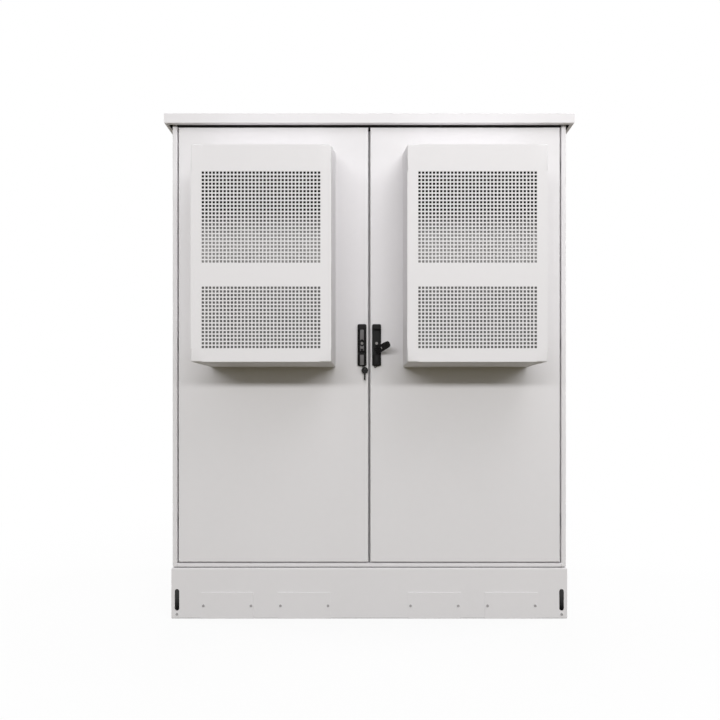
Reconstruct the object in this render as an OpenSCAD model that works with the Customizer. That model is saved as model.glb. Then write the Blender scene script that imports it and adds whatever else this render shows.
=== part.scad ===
// Two-bay roadside utility cabinet: folded sheet carcass on a plinth, with two inset doors.
// Each door carries a louvred cooling unit under a rain hood, a swing handle and a rod lock.
// The origin is the centre of the plinth's footprint on the ground. The front faces -Y, and +Z is up.

/* [Cabinet body] */
// Width over the side panels
body_w = 1550; // [1450:10:1700]
// Depth from the front jambs to the rear flanges
body_d = 800; // [700:10:900]
// Height from the base seal's top to the ceiling panel's top
body_h = 1746; // [1696:10:1846]
// Thickness of the carcass and door sheet
sheet = 2; // [1.5:0.5:2.5]
// Width of the jamb that shows beside a door
jamb_w = 19; // [16:1:30]
// Height of the sill that shows under the doors
sill_h = 13; // [12:1:30]
// Height of the header that shows over the doors
header_h = 11; // [10:1:30]
// Depth of the rebate that a door closes into
rebate_d = 40; // [39:1:46]
// Outside radius of a fold, in sheet thicknesses
fold = 2; // [1.5:0.25:2.5]
// Width of the land that the door seal closes on
land_w = 56; // [54:1:64]
// Width of the rear flange that a back panel is screwed to
rear_flange = 40; // [30:1:60]

/* [Plinth] */
// Height of the plinth
plinth_h = 200; // [160:5:300]
// Thickness of the rubber seal between the plinth and the carcass
base_seal_t = 4; // [2:1:8]
// Width of the base seal
base_seal_w = 44; // [30:1:50]
// How far the base seal is set back from the carcass
base_seal_inset = 6; // [4:1:12]
// How far the plinth stands out from the carcass all round
plinth_proud = 3; // [2:1:8]
// Thickness of the plinth sheet
plinth_sheet = 2.5; // [2:0.5:4]
// Outside radius of the plinth's folds
plinth_bend = 5; // [4:0.5:8]
// Width of the plinth's inward flanges
plinth_flange = 60; // [50:1:80]
// Height of a cable entry cover
cover_h = 104; // [90:1:130]
// Thickness of a cable entry cover
cover_t = 2; // [1.5:0.5:3]
// How far a cover laps over its cut-out on each side
cover_lap = 17; // [15:1:22]
// Distance from the centre line to the nearest cover
cover_start = 152; // [120:1:180]
// Gap between two neighbouring covers
cover_gap = 95.5; // [60:0.5:120]
// Distance from the plinth's end to the last cover
cover_end = 116.5; // [90:0.5:140]
// Distance of a cover's screws from its ends
cover_screw_inset = 10; // [8:1:14]
// Width of a corner lifting slot
slot_w = 18; // [12:1:24]
// Height of a corner lifting slot
slot_h = 85; // [60:1:100]
// Height of a lifting slot's centre above the ground
slot_z = 74.5; // [60:0.5:85]
// Distance of a lifting slot's centre from the plinth's end
slot_inset = 22; // [18:1:40]
// Height of the corner screw above the ground
corner_screw_z = 18; // [12:1:22]
// Diameter of an anchor hole
anchor_d = 16; // [12:1:20]
// Distance of an anchor hole from the plinth's end
anchor_end = 78; // [60:1:160]
// Distance of an anchor hole from the plinth's outer face
anchor_inset = 32; // [25:1:40]

/* [Screws] */
// Shank diameter of the panel screws
screw_d = 6; // [4:1:8]
// Head diameter of the panel screws
screw_head_d = 10; // [9:1:14]
// Head height of the panel screws
screw_head_h = 3; // [2:0.5:5]

/* [Roof] */
// How far the roof overhangs the carcass all round
roof_overhang = 25; // [15:1:60]
// Depth of the roof's folded rim
roof_rim = 40; // [36:1:44]
// Width of the drip return under the rim
roof_return = 12; // [8:1:14]
// Air gap between the ceiling panel and the roof sheet
roof_gap = 26; // [24:1:32]
// Width of a roof bearer
bearer_w = 60; // [40:1:100]
// How far a roof bearer stops short of the ceiling panel's ends
bearer_inset = 40; // [10:1:80]

/* [Doors] */
// Gap between a door and the carcass
door_gap = 5; // [5:0.5:8]
// Gap between the two doors
seam = 8; // [6:1:14]
// Depth of a door's folded edges
door_t = 25; // [24:0.5:26]
// Width of a door's inner returns
door_return = 45; // [44:1:50]
// Width of the door seal
seal_w = 12; // [8:1:14]
// Distance of the seal from the inner edge of the door's returns
seal_inset = 2; // [1:0.5:4]
// Clearance between the seal and its land with the door shut
seal_clear = 0.3; // [0.2:0.1:0.8]

/* [Hinges] */
// Distance of the hinge axis from the door's edge
hinge_edge = 16; // [15:0.5:17]
// Depth of the hinge axis behind the door's face
hinge_depth = 12; // [11.5:0.5:12]
// Distance of the end hinges from the door's ends
hinge_end = 158; // [100:1:300]
// Diameter of a hinge pin
pin_d = 6; // [5:0.5:6]
// Diameter of a hinge knuckle
knuckle_d = 12; // [11:0.5:12]
// Height of the carcass knuckle
knuckle_h = 40; // [30:1:50]
// Height of each door knuckle
leaf_knuckle_h = 25; // [15:1:30]
// Radial clearance of a turning fit
running = 0.05; // [0.03:0.01:0.08]

/* [Hood] */
// Width of the door that shows on each side of the rain hood
hood_margin = 128.5; // [114:0.5:138]
// Height of the hood's front
hood_h = 758; // [750:1:800]
// How far the hood stands out from the door
hood_d = 270; // [250:5:330]
// Rise of the hood's sloping top from its front to the door
hood_rise = 87; // [40:1:90]
// Distance from the door's top down to the hood's top
hood_drop = 100; // [60:1:180]
// Thickness of the hood sheet
hood_sheet = 1.5; // [1:0.5:2]
// Outside radius of the hood's folds
hood_bend = 5; // [3:0.5:8]

/* [Perforated screens] */
// Side of a square hole
hole = 7.8; // [5:0.1:9]
// Spacing of the holes across
hole_pitch_x = 12.65; // [11:0.05:13]
// Spacing of the holes up
hole_pitch_z = 12.9; // [11:0.05:13]
// Width of the plain sheet beside the screens
screen_margin = 36; // [30:1:60]
// Rows of holes in the upper screen
upper_rows = 25; // [15:1:26]
// Rows of holes in the lower screen
lower_rows = 17; // [10:1:18]
// Height of the lower screen above the hood's underside
lower_screen_z = 45; // [30:1:60]
// Height of the upper screen above the hood's underside
upper_screen_z = 343; // [320:1:350]
// Thickness of the filter mat behind a screen
mat_t = 10; // [6:1:20]
// How far a filter mat laps over its screen on each side
mat_lap = 10; // [6:1:16]

/* [Cooling unit] */
// Gap between the hood's side and the cooling unit's case
unit_margin = 25; // [20:1:30]
// Height of the case
unit_h = 720; // [710:1:725]
// Height of the case's underside above the hood's underside
unit_z = 16; // [14:1:20]
// Gap between the hood's front and the case's front
unit_front = 55; // [35:1:65]
// How far the case stands inside the door's face
unit_in = 60; // [55:1:75]
// Width of the flange that holds the case to the door
unit_flange = 12; // [8:1:13]
// Diameter of the fan impellers as a share of the case's width
fan_share = 0.66; // [0.56:0.01:0.68]
// Gap between the blade tips and the fan duct
fan_tip_gap = 5; // [3:0.5:6]
// Length of the fan duct
duct_l = 60; // [50:1:64]
// Diameter of an impeller's hub as a share of the impeller
hub_share = 0.36; // [0.3:0.01:0.4]
// Number of blades
blades = 5; // [3:1:7]
// Pitch angle of the blades
blade_angle = 35; // [20:1:40]
// Diameter of the fan motor as a share of the hub
motor_share = 0.86; // [0.7:0.01:0.9]
// Length of the fan motor behind the duct
motor_l = 28; // [20:1:30]
// Diameter of the fan shaft
fan_shaft_d = 12; // [8:1:16]
// Gap between the heat exchanger core and the fan motors
core_clear = 13; // [8:1:24]
// Number of plates in the core
core_plates = 24; // [12:1:30]

/* [Handle] */
// Distance of a handle from the cabinet's centre line
handle_x = 28.7; // [28:0.1:32]
// Height of the handle's turning axis above the base seal
handle_z = 849; // [800:1:900]
// Width of the handle's base
base_w = 35; // [33:1:38]
// How far the base reaches above the turning axis
base_up = 105; // [102:1:115]
// How far the base reaches below the turning axis
base_down = 59; // [55:1:65]
// Thickness of the base
base_t = 7; // [6:0.5:8]
// Width of the lever at its root
lever_w = 28; // [26:1:30]
// Width of the lever at its tip
lever_tip_w = 25; // [20:1:26]
// Width of the flat along the lever's front
lever_flat_w = 14; // [10:1:18]
// Length of the lever from the turning axis
lever_l = 81.5; // [70:0.5:83]
// Thickness of the lever
lever_t = 11; // [10.5:0.5:13]
// Gap between the lever's back and the base
lever_gap = 3.5; // [3.3:0.1:4.5]
// Turn of the right lever from upright
right_turn = 66; // [0:1:90]
// Lift of the right lever from its base
right_lift = 52; // [0:1:60]
// Diameter of the lock plug
plug_d = 11; // [9:0.5:12]
// Height of the lock plug above the turning axis
plug_z = 29.5; // [27:0.5:40]

/* [Rod lock] */
// Diameter of the spindle
spindle_d = 12; // [10:0.5:12]
// Gear module of the pinion and racks
gear_module = 1.5; // [1.5:0.1:1.6]
// Backlash between the pinion and a rack
backlash = 0.3; // [0.2:0.05:0.5]
// Thickness of the pinion and racks
gear_t = 6; // [5:0.5:7]
// Depth of the racks' middle behind the door's face
rack_y = 11; // [11:0.5:12]
// Diameter of a lock rod
rod_d = 8; // [6:0.5:8]
// How far a thrown rod stands out of the door
rod_throw = 3; // [2:0.5:3.5]
// Heights of the rod guides above and below the turning axis
guide_offset = 420; // [300:10:480]

/* [Bays] */
// Clear width between a bay's rack rails
rail_span = 450; // [440:1:480]
// Width of a rack rail's front flange
rail_w = 40; // [30:1:50]
// Depth of the front rails behind the cabinet's front
front_rail_y = 260; // [200:5:320]
// Depth of the rear rails behind the cabinet's front
rear_rail_y = 690; // [600:5:740]
// Side of a rail's square holes
rail_hole = 9.5; // [9:0.1:10]
// Distance of those holes from the rail's free edge
rail_hole_edge = 3; // [2:0.5:6]
// Width of a cable entry in the floor
entry_w = 300; // [200:5:400]
// Depth of a cable entry in the floor
entry_d = 150; // [100:5:200]
// Distance of a cable entry behind the cabinet's front
entry_y = 480; // [400:5:520]
// How far a gland plate laps over its entry
gland_lap = 15; // [10:1:30]
// Height of the earth bar's middle above the floor
earth_z = 350; // [250:10:600]
// Depth of the earth bar's middle behind the cabinet's front
earth_y = 480; // [400:10:560]
// Length of the earth bar
earth_l = 300; // [200:10:400]

/* [Hidden] */
$fn = 64;

// Colours as the finishes show
paint = "#dedcdc";
inner_steel = "#b9bcbd";
black_zinc = "#2a292a";
bright_steel = "#c3c5c6";
rubber_black = "#1d1d1e";
copper = "#b87a4b";
fibre = "#6f7172";

// Fixed by standards and by the mesh of the gear
rack_unit = 44.45;
pinion_teeth = 14;
rack_teeth = 12;
rack_back_t = 5;

// Places that follow from the driving sizes, with the front of the carcass at depth 0
front_y = -(body_d + sheet) / 2;
half_w = body_w / 2;
body_z0 = plinth_h + base_seal_t;
body_z1 = body_z0 + body_h;
rebate_x = half_w - jamb_w;
land_x = rebate_x - land_w;
land_y = rebate_d - sheet;
sill_top = body_z0 + sill_h;
header_bottom = body_z1 - header_h;
sill_land_top = sill_top - sheet + land_w;
header_land_bottom = header_bottom + sheet - land_w;
door_x0 = seam / 2;
door_x1 = rebate_x - door_gap;
door_w = door_x1 - door_x0;
door_mid = (door_x0 + door_x1) / 2;
door_z0 = sill_top + door_gap;
door_z1 = header_bottom - door_gap;
axis_x = door_x1 - hinge_edge;
hinge_heights = [door_z0 + hinge_end, (door_z0 + door_z1) / 2, door_z1 - hinge_end];
hood_w = door_w - 2 * hood_margin;
hood_z0 = door_z1 - hood_drop - hood_rise - hood_h;
unit_w = hood_w - 2 * unit_margin;
unit_out = hood_d - unit_front;
unit_z0 = hood_z0 + unit_z;
unit_z1 = unit_z0 + unit_h;
turn_z = body_z0 + handle_z;
pitch_r = gear_module * pinion_teeth / 2;
dedendum = 1.25 * gear_module;
rod_x = pitch_r + dedendum + rack_back_t / 2;
bay_mid = (half_w - sheet / 2) / 2;
layer_gap = 0.05;
hole_clear = 2;
eps = 0.01;
bend_steps = 5;

// Puts a piece on the right, or its mirror image on the left
module on_side(side) {
  translate([0, front_y, 0])
    if (side < 0) mirror([1, 0, 0]) children();
    else children();
}

// A piece that lies on the middle of the cabinet
module in_middle() {
  translate([0, front_y, 0]) children();
}

// A box between two corners
module box(low, high) {
  translate(low) cube(high - low);
}

// A round bar along the depth, from depth y0 to depth y1
module bar_y(d, y0, y1) {
  translate([0, y1, 0]) rotate([90, 0, 0]) cylinder(d = d, h = y1 - y0);
}

// A flat outline in width and height, thickened from depth y0 to depth y1
module slab(y0, y1) {
  translate([0, y1, 0]) rotate([90, 0, 0]) linear_extrude(y1 - y0) children();
}

// Stretches a side outline in depth and height across the width from x0 to x1
module across(x0, x1) {
  translate([x0, 0, 0]) rotate([90, 0, 90]) linear_extrude(x1 - x0) children();
}

function unit(v) = v / norm(v);
function left_of(v) = [-v.y, v.x];
function backwards(list) = [for (i = [len(list) - 1 : -1 : 0]) list[i]];

// Arc of a bend about a centre c, from heading u through an angle in degrees
function arc(c, r, u, angle) = [for (i = [0 : bend_steps])
  let (a = angle * i / bend_steps) c + r * (u * sin(a) - left_of(u) * cos(a))];

// An outline, listed against the clock, with a radius for each of its corners
function rounded(p, radii) = let (n = len(p)) [for (i = [0 : n - 1])
  let (
    u = unit(p[i] - p[(i + n - 1) % n]),
    v = unit(p[(i + 1) % n] - p[i]),
    angle = atan2(cross(u, v), u * v),
    r = radii[i]
  )
  each r == 0 ? [p[i]] : arc(p[i] - r * tan(angle / 2) * u + r * left_of(u), r, u, angle)];

// One face of a folded strip along a line of points: side is 1 for the left face and -1 for the right
function strip_face(p, t, side) = let (n = len(p) - 1, r = (fold - 0.5) * t) concat(
  [p[0] + side * t / 2 * left_of(unit(p[1] - p[0]))],
  [for (i = [1 : 1 : n - 1])
    let (
      u = unit(p[i] - p[i - 1]),
      turn = cross(u, unit(p[i + 1] - p[i])),
      c = p[i] - r * u + r * turn * left_of(u)
    )
    each arc(c, turn * r - side * t / 2, u, turn * 90)],
  [p[n] + side * t / 2 * left_of(unit(p[n] - p[n - 1]))]
);

// A sheet seen edge on, folded square along the line of its middle
module folded(points, t) {
  polygon(concat(strip_face(points, t, 1), backwards(strip_face(points, t, -1))));
}

// The corners of a rectangle against the clock, from its low corner
function corners(low, high) = [low, [high.x, low.y], high, [low.x, high.y]];

// A tray of sheet between two corners, with its front edges folded back
module tray(low, high, r) {
  intersection() {
    translate([0, 0, low.z]) linear_extrude(high.z - low.z)
      polygon(rounded(corners([low.x, low.y], [high.x, high.y]), [r, r, 0, 0]));
    across(low.x, high.x)
      polygon(rounded(corners([low.y, low.z], [high.y, high.z]), [r, 0, 0, r]));
  }
}

// A band of sheet between two corners, with its top and bottom edges folded in
module band(low, high, r) {
  intersection() {
    slab(low.y, high.y) polygon(rounded(corners([low.x, low.z], [high.x, high.z]), [r, r, r, r]));
    across(low.x, high.x) polygon(rounded(corners([low.y, low.z], [high.y, high.z]), [r, r, r, r]));
  }
}

// A rectangle with round corners, between two corners
module round_rectangle(low, high, r) {
  translate([low.x + r, low.y]) square([high.x - low.x - 2 * r, high.y - low.y]);
  translate([low.x, low.y + r]) square([high.x - low.x, high.y - low.y - 2 * r]);
  for (x = [low.x + r, high.x - r], y = [low.y + r, high.y - r])
    translate([x, y]) circle(r);
}

// An upright slot with round ends, about its own centre
module slot_outline(w, h) {
  translate([-w / 2, -(h - w) / 2]) square([w, h - w]);
  for (z = [-(h - w) / 2, (h - w) / 2]) translate([0, z]) circle(d = w);
}

// Plinth

plinth_x = half_w + plinth_proud;
plinth_y0 = -plinth_proud;
plinth_y1 = body_d + sheet + plinth_proud;
cover_w = (plinth_x - cover_end - cover_gap - cover_start) / 2;
cover_near = cover_start + cover_w / 2;
cover_far = plinth_x - cover_end - cover_w / 2;
cover_centres = [-cover_far, -cover_near, cover_near, cover_far];
cover_screw_span = cover_w - 2 * cover_screw_inset;
cover_z0 = 1;
cover_screw_z = cover_h / 2;
slot_x = plinth_x - slot_inset;
anchor_x = plinth_x - anchor_end;
anchor_ys = [plinth_y0 + anchor_inset, plinth_y1 - anchor_inset];

// Centres of the eight cover screws along the width
cover_screws = [for (c = cover_centres, s = [-1, 1]) c + s * cover_screw_span / 2];

module plinth_frame() {
  inner = plinth_x - plinth_sheet;
  lip = plinth_x - plinth_flange;
  wall_end = plinth_y0 + plinth_sheet + 1;
  color(paint) in_middle() difference() {
    band([-plinth_x, plinth_y0, 0], [plinth_x, plinth_y1, plinth_h], plinth_bend);
    band([-inner, plinth_y0 + plinth_sheet, plinth_sheet],
         [inner, plinth_y1 - plinth_sheet, plinth_h - plinth_sheet], plinth_bend - plinth_sheet);
    box([-lip, plinth_y0 + plinth_flange, -1], [lip, plinth_y1 - plinth_flange, plinth_h + 1]);
    for (c = cover_centres)
      box([c - cover_w / 2 + cover_lap, plinth_y0 - 1, cover_z0 + cover_lap],
          [c + cover_w / 2 - cover_lap, wall_end, cover_h - cover_lap]);
    for (x = [-slot_x, slot_x], y = [plinth_y0, plinth_y1 - plinth_sheet])
      translate([x, 0, slot_z]) slab(y - 1, y + plinth_sheet + 1) slot_outline(slot_w, slot_h);
    for (x = cover_screws)
      translate([x, 0, cover_screw_z]) bar_y(screw_d + 2 * running, plinth_y0 - 1, wall_end);
    for (x = [-slot_x, slot_x])
      translate([x, 0, corner_screw_z]) bar_y(screw_d + 2 * running, plinth_y0 - 1, wall_end);
    for (x = [-anchor_x, anchor_x], y = anchor_ys)
      translate([x, y, -1]) cylinder(d = anchor_d, h = plinth_sheet + 2);
  }
}

module plinth_covers() {
  color(paint) in_middle() for (c = cover_centres) difference() {
    box([c - cover_w / 2, plinth_y0 - cover_t, cover_z0], [c + cover_w / 2, plinth_y0, cover_h]);
    for (s = [-1, 1])
      translate([c + s * cover_screw_span / 2, 0, cover_screw_z])
        bar_y(screw_d + 2 * running, plinth_y0 - cover_t - 1, plinth_y0 + 1);
  }
}

// A pan-head screw whose head seats at depth y0, with a cross recess
module panel_screw(y0, grip) {
  cross_w = 1.2;
  difference() {
    union() {
      bar_y(screw_head_d, y0 - screw_head_h, y0);
      bar_y(screw_d, y0 - eps, y0 + grip);
    }
    for (a = [0, 90])
      rotate([0, a, 0]) box([-screw_head_d / 4, y0 - screw_head_h - 1, -cross_w / 2],
                            [screw_head_d / 4, y0 - screw_head_h / 2, cross_w / 2]);
  }
}

module plinth_screws() {
  color(bright_steel) in_middle() {
    for (x = cover_screws)
      translate([x, 0, cover_screw_z]) panel_screw(plinth_y0 - cover_t, cover_t + plinth_sheet);
    for (x = [-slot_x, slot_x])
      translate([x, 0, corner_screw_z]) panel_screw(plinth_y0, plinth_sheet);
  }
}

// Carcass

// Flat rubber ring that the carcass stands on
module base_seal() {
  edge = base_seal_inset;
  inner = edge + base_seal_w;
  color(rubber_black) in_middle() difference() {
    box([-half_w + edge, edge, plinth_h], [half_w - edge, body_d - edge, body_z0]);
    box([-half_w + inner, inner, plinth_h - 1], [half_w - inner, body_d - inner, body_z0 + 1]);
  }
}

// A flat sheet that fills the carcass, with its rear corners cut for the folds of the side sheets
module level_sheet(z) {
  x = half_w - sheet;
  r = fold * sheet;
  translate([0, 0, z]) linear_extrude(sheet)
    polygon(rounded(corners([-x, rebate_d], [x, body_d - sheet]), [0, 0, r, r]));
}

module floor_panel() {
  color(inner_steel) in_middle() difference() {
    level_sheet(body_z0);
    for (x = [-bay_mid, bay_mid])
      box([x - entry_w / 2, entry_y - entry_d / 2, body_z0 - 1],
          [x + entry_w / 2, entry_y + entry_d / 2, body_z0 + sheet + 1]);
  }
}

module gland_plates() {
  w = entry_w / 2 + gland_lap;
  d = entry_d / 2 + gland_lap;
  color(inner_steel) in_middle() for (x = [-bay_mid, bay_mid])
    box([x - w, entry_y - d, body_z0 + sheet], [x + w, entry_y + d, body_z0 + 2 * sheet]);
}

// The side sheet seen from above: seal land, rebate, jamb, wall and rear flange in one folded strip
module side_panel(side) {
  mid = sheet / 2;
  color(paint) on_side(side) translate([0, 0, body_z0]) linear_extrude(body_h) folded([
    [land_x, rebate_d - mid],
    [rebate_x + mid, rebate_d - mid],
    [rebate_x + mid, mid],
    [half_w - mid, mid],
    [half_w - mid, body_d - mid],
    [half_w - rear_flange, body_d - mid]
  ], sheet);
}

// A rail across the front, folded from its flange at height z0 round the opening's edge to its seal land.
// Its land is notched at both ends for the lands of the side sheets
module front_rail(z0, edge_z, land_end) {
  mid = sheet / 2;
  relief = (fold - 1) * sheet;
  low = min(edge_z - sheet, land_end) - 1;
  high = max(edge_z + sheet, land_end) + 1;
  color(paint) in_middle() difference() {
    across(-rebate_x, rebate_x)
      folded([[mid, z0], [mid, edge_z], [rebate_d - mid, edge_z], [rebate_d - mid, land_end]], sheet);
    for (flip = [0, 1]) mirror([flip, 0, 0]) {
      box([land_x, land_y, low], [rebate_x + 1, rebate_d + 1, high]);
      box([rebate_x - relief, land_y - relief, low], [rebate_x + 1, rebate_d + 1, high]);
    }
  }
}

module front_header() {
  front_rail(body_z1, header_bottom + sheet / 2, header_land_bottom);
}

module front_sill() {
  front_rail(body_z0, sill_top - sheet / 2, sill_land_top);
}

post_w = 120;
post_d = 60;
pad_w = post_w - 4 * fold * sheet;

// Channel behind the meeting edges of the doors, with a pad that carries on the seal land
module centre_post() {
  z0 = body_z0 + sheet;
  z1 = body_z1 - sheet;
  x = post_w / 2 - sheet / 2;
  web_y = rebate_d + sheet / 2;
  color(paint) in_middle() {
    box([-pad_w / 2, land_y, sill_land_top], [pad_w / 2, rebate_d + eps, header_land_bottom]);
    translate([0, 0, z0]) linear_extrude(z1 - z0)
      folded([[-x, rebate_d + post_d], [-x, web_y], [x, web_y], [x, rebate_d + post_d]], sheet);
  }
}

// Sheet between the bays, with a strip welded along its back edge for the back panels
module bay_divider() {
  z0 = body_z0 + sheet;
  z1 = body_z1 - sheet;
  color(inner_steel) in_middle() translate([0, 0, z0]) linear_extrude(z1 - z0) {
    translate([-sheet / 2, rebate_d + sheet]) square([sheet, body_d - rebate_d - sheet]);
    translate([-rear_flange, body_d - sheet]) square([2 * rear_flange, sheet]);
  }
}

// Ceiling sheet with two channel bearers that hold the roof off it
module ceiling_panel() {
  x = bearer_w / 2 - sheet / 2;
  web_z = roof_gap - sheet / 2;
  color(paint) in_middle() {
    level_sheet(body_z1 - sheet);
    for (bay = [-bay_mid, bay_mid])
      translate([bay, 0, body_z1]) slab(rebate_d + bearer_inset, body_d - bearer_inset)
        folded([[-x, -eps], [-x, web_z], [x, web_z], [x, -eps]], sheet);
  }
}

module back_panels() {
  color(paint) for (side = [-1, 1]) on_side(side)
    box([sheet / 2, body_d, body_z0], [half_w - sheet, body_d + sheet, body_z1]);
}

// One sheet folded down into a rim all round, and in again under the rim as a drip edge
module roof_cap() {
  x1 = half_w + roof_overhang;
  y0 = -roof_overhang;
  y1 = body_d + sheet + roof_overhang;
  top = body_z1 + roof_gap + sheet;
  bottom = top - roof_rim;
  lip = sheet + roof_return;
  color(paint) in_middle() difference() {
    band([-x1, y0, bottom], [x1, y1, top], fold * sheet);
    band([-x1 + sheet, y0 + sheet, bottom + sheet], [x1 - sheet, y1 - sheet, top - sheet],
         (fold - 1) * sheet);
    box([-x1 + lip, y0 + lip, bottom - 1], [x1 - lip, y1 - lip, bottom + sheet + 1]);
  }
}

// Bays

// One upright rack rail: an angle with a column of square holes, one to a rack unit
module rack_rail(y) {
  z0 = body_z0 + sheet;
  h = body_h - 2 * sheet;
  x0 = rail_span / 2;
  count = floor(h / rack_unit) - 1;
  first = (h - (count - 1) * rack_unit) / 2;
  mid = sheet / 2;
  translate([0, y, z0]) difference() {
    linear_extrude(h) folded([[x0, mid], [x0 + rail_w - mid, mid], [x0 + rail_w - mid, rail_w]], sheet);
    for (i = [0 : count - 1])
      translate([x0 + rail_hole_edge, -1, first + i * rack_unit - rail_hole / 2])
        cube([rail_hole, sheet + 2, rail_hole]);
  }
}

module bay_rails(side) {
  color(inner_steel) on_side(side) translate([bay_mid, 0, 0])
    for (y = [front_rail_y, rear_rail_y], flip = [0, 1])
      mirror([flip, 0, 0]) rack_rail(y);
}

// Copper bar on two insulating pillars on the side wall of the left bay
module earth_bar() {
  bar = [5, 25, earth_l];
  pillar_h = 40;
  pillar_d = 20;
  pillar_inset = 16;
  holes = 6;
  hole_d = 9;
  color(copper) on_side(-1) translate([half_w - sheet - pillar_h, earth_y, body_z0 + earth_z]) {
    difference() {
      translate([-layer_gap - bar.x, -bar.y / 2, -bar.z / 2]) cube(bar);
      for (i = [1 : holes])
        translate([-bar.x - 1, 0, (i / (holes + 1) - 0.5) * (bar.z - 2 * pillar_inset)])
          rotate([0, 90, 0]) cylinder(d = hole_d, h = bar.x + 2);
    }
    for (z = [pillar_inset - bar.z / 2, bar.z / 2 - pillar_inset])
      translate([0, 0, z]) rotate([0, 90, 0]) cylinder(d = pillar_d, h = pillar_h);
  }
}

// Hinges

arm_t = 6;
foot_w = 26;
foot_lap = 10;
leaf_w = 35;
notch_clear = 3;
leaf_t = 3;
knuckle_gap = 0.5;
pin_head_h = 3;

// Carcass half: an arm off the seal land with one knuckle on the hinge axis
module hinge_brackets(side) {
  color(bright_steel) on_side(side) for (z = hinge_heights)
    translate([axis_x, hinge_depth, z - knuckle_h / 2]) difference() {
      union() {
        cylinder(d = knuckle_d, h = knuckle_h);
        box([-arm_t / 2, 0, 0], [arm_t / 2, land_y - hinge_depth, knuckle_h]);
        box([-foot_w / 2, land_y - hinge_depth - leaf_t, -foot_lap],
            [foot_w / 2, land_y - hinge_depth, knuckle_h + foot_lap]);
      }
      translate([0, 0, -1]) cylinder(d = pin_d + 2 * running, h = knuckle_h + 2);
    }
}

// Door half: a plate on the back of the door's face with a knuckle above and one below, and the pin
module hinge_leaves(side) {
  reach = knuckle_h / 2 + knuckle_gap;
  end = reach + leaf_knuckle_h;
  plate_y = sheet - hinge_depth;
  color(bright_steel) on_side(side) for (z = hinge_heights) translate([axis_x, hinge_depth, z]) {
    difference() {
      union() {
        box([-leaf_w, plate_y, -end], [knuckle_d / 2, plate_y + leaf_t, end]);
        for (low = [reach, -end]) {
          translate([0, 0, low]) cylinder(d = knuckle_d, h = leaf_knuckle_h);
          box([-knuckle_d / 2, plate_y, low], [knuckle_d / 2, 0, low + leaf_knuckle_h]);
        }
      }
      translate([0, 0, -end - 1]) cylinder(d = pin_d + 2 * running, h = 2 * end + 2);
    }
    translate([0, 0, -end]) cylinder(d = pin_d, h = 2 * end + layer_gap + pin_head_h / 2);
    translate([0, 0, end + layer_gap]) cylinder(d = knuckle_d - 2, h = pin_head_h);
  }
}

// Doors

// Notches that let the carcass arms swing through the door's folded edge
module hinge_notches() {
  h = knuckle_h + 2 * notch_clear;
  for (z = hinge_heights)
    box([axis_x - knuckle_d / 2 - notch_side, sheet, z - h / 2], [door_x1 + 1, door_t + 1, z + h / 2]);
}

notch_side = 4;
guide_l = 20;
guide_wall = 3;
rod_clear = 0.5;

// Blocks on the back of the door's face that steady the lock rods
module rod_guides() {
  half = rod_d / 2 + guide_wall;
  for (s = [-1, 1]) translate([handle_x + s * rod_x, 0, turn_z + s * guide_offset])
    box([-half, sheet - eps, -guide_l / 2], [half, rack_y + half, guide_l / 2]);
}

// Bores that run from just inside the guides out through the door's top and bottom folds
module rod_bores() {
  for (s = [-1, 1])
    translate([handle_x + s * rod_x, rack_y, turn_z]) rotate([0, s > 0 ? 0 : 180, 0])
      translate([0, 0, guide_offset - guide_l]) cylinder(d = rod_d + 2 * rod_clear, h = body_h);
}

module door_panel(side) {
  low = [door_x0, 0, door_z0];
  high = [door_x1, door_t, door_z1];
  wall = [sheet, sheet, sheet];
  color(paint) on_side(side) difference() {
    union() {
      difference() {
        tray(low, high, fold * sheet);
        tray(low + wall, high - wall, (fold - 1) * sheet);
        box([door_x0 + door_return, sheet, door_z0 + door_return],
            [door_x1 - door_return, door_t + 1, door_z1 - door_return]);
      }
      rod_guides();
    }
    box([door_mid - unit_w / 2, -1, unit_z0], [door_mid + unit_w / 2, sheet + 1, unit_z1]);
    hinge_notches();
    translate([handle_x, 0, turn_z]) bar_y(spindle_d + 2 * hole_clear, -1, sheet + 1);
    translate([handle_x, 0, turn_z + plug_z]) bar_y(plug_d + 2 * hole_clear, -1, sheet + 1);
    rod_bores();
  }
}

module door_seal(side) {
  edge = door_return - seal_inset;
  color(rubber_black) on_side(side) difference() {
    box([door_x0 + edge - seal_w, door_t, door_z0 + edge - seal_w],
        [door_x1 - edge + seal_w, land_y - seal_clear, door_z1 - edge + seal_w]);
    box([door_x0 + edge, door_t - 1, door_z0 + edge], [door_x1 - edge, land_y + 1, door_z1 - edge]);
  }
}

// Hoods

hood_x0 = door_mid - hood_w / 2;
hood_x1 = door_mid + hood_w / 2;
hole_columns = floor((hood_w - 2 * screen_margin) / hole_pitch_x);
screen_w = hole_columns * hole_pitch_x;
screens = [[lower_screen_z, lower_rows * hole_pitch_z], [upper_screen_z, upper_rows * hole_pitch_z]];

// The hood's side outline in depth and height, taken in by t on every side but the back
module hood_outline(t) {
  slope = hood_rise / hood_d;
  drop = t * sqrt(1 + slope * slope);
  r = hood_bend - t;
  polygon(rounded([
    [-hood_d + t, t],
    [0, t],
    [0, hood_h + hood_rise - drop],
    [-hood_d + t, hood_h - drop + slope * t]
  ], [r, 0, 0, r]));
}

// The hood as a solid, taken in by t, with its front folds rounded
module hood_form(t) {
  r = hood_bend - t;
  intersection() {
    across(hood_x0 + t, hood_x1 - t) hood_outline(t);
    linear_extrude(hood_h + hood_rise)
      polygon(rounded(corners([hood_x0 + t, -hood_d + t], [hood_x1 - t, 1]), [r, r, 0, 0]));
  }
}

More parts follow.
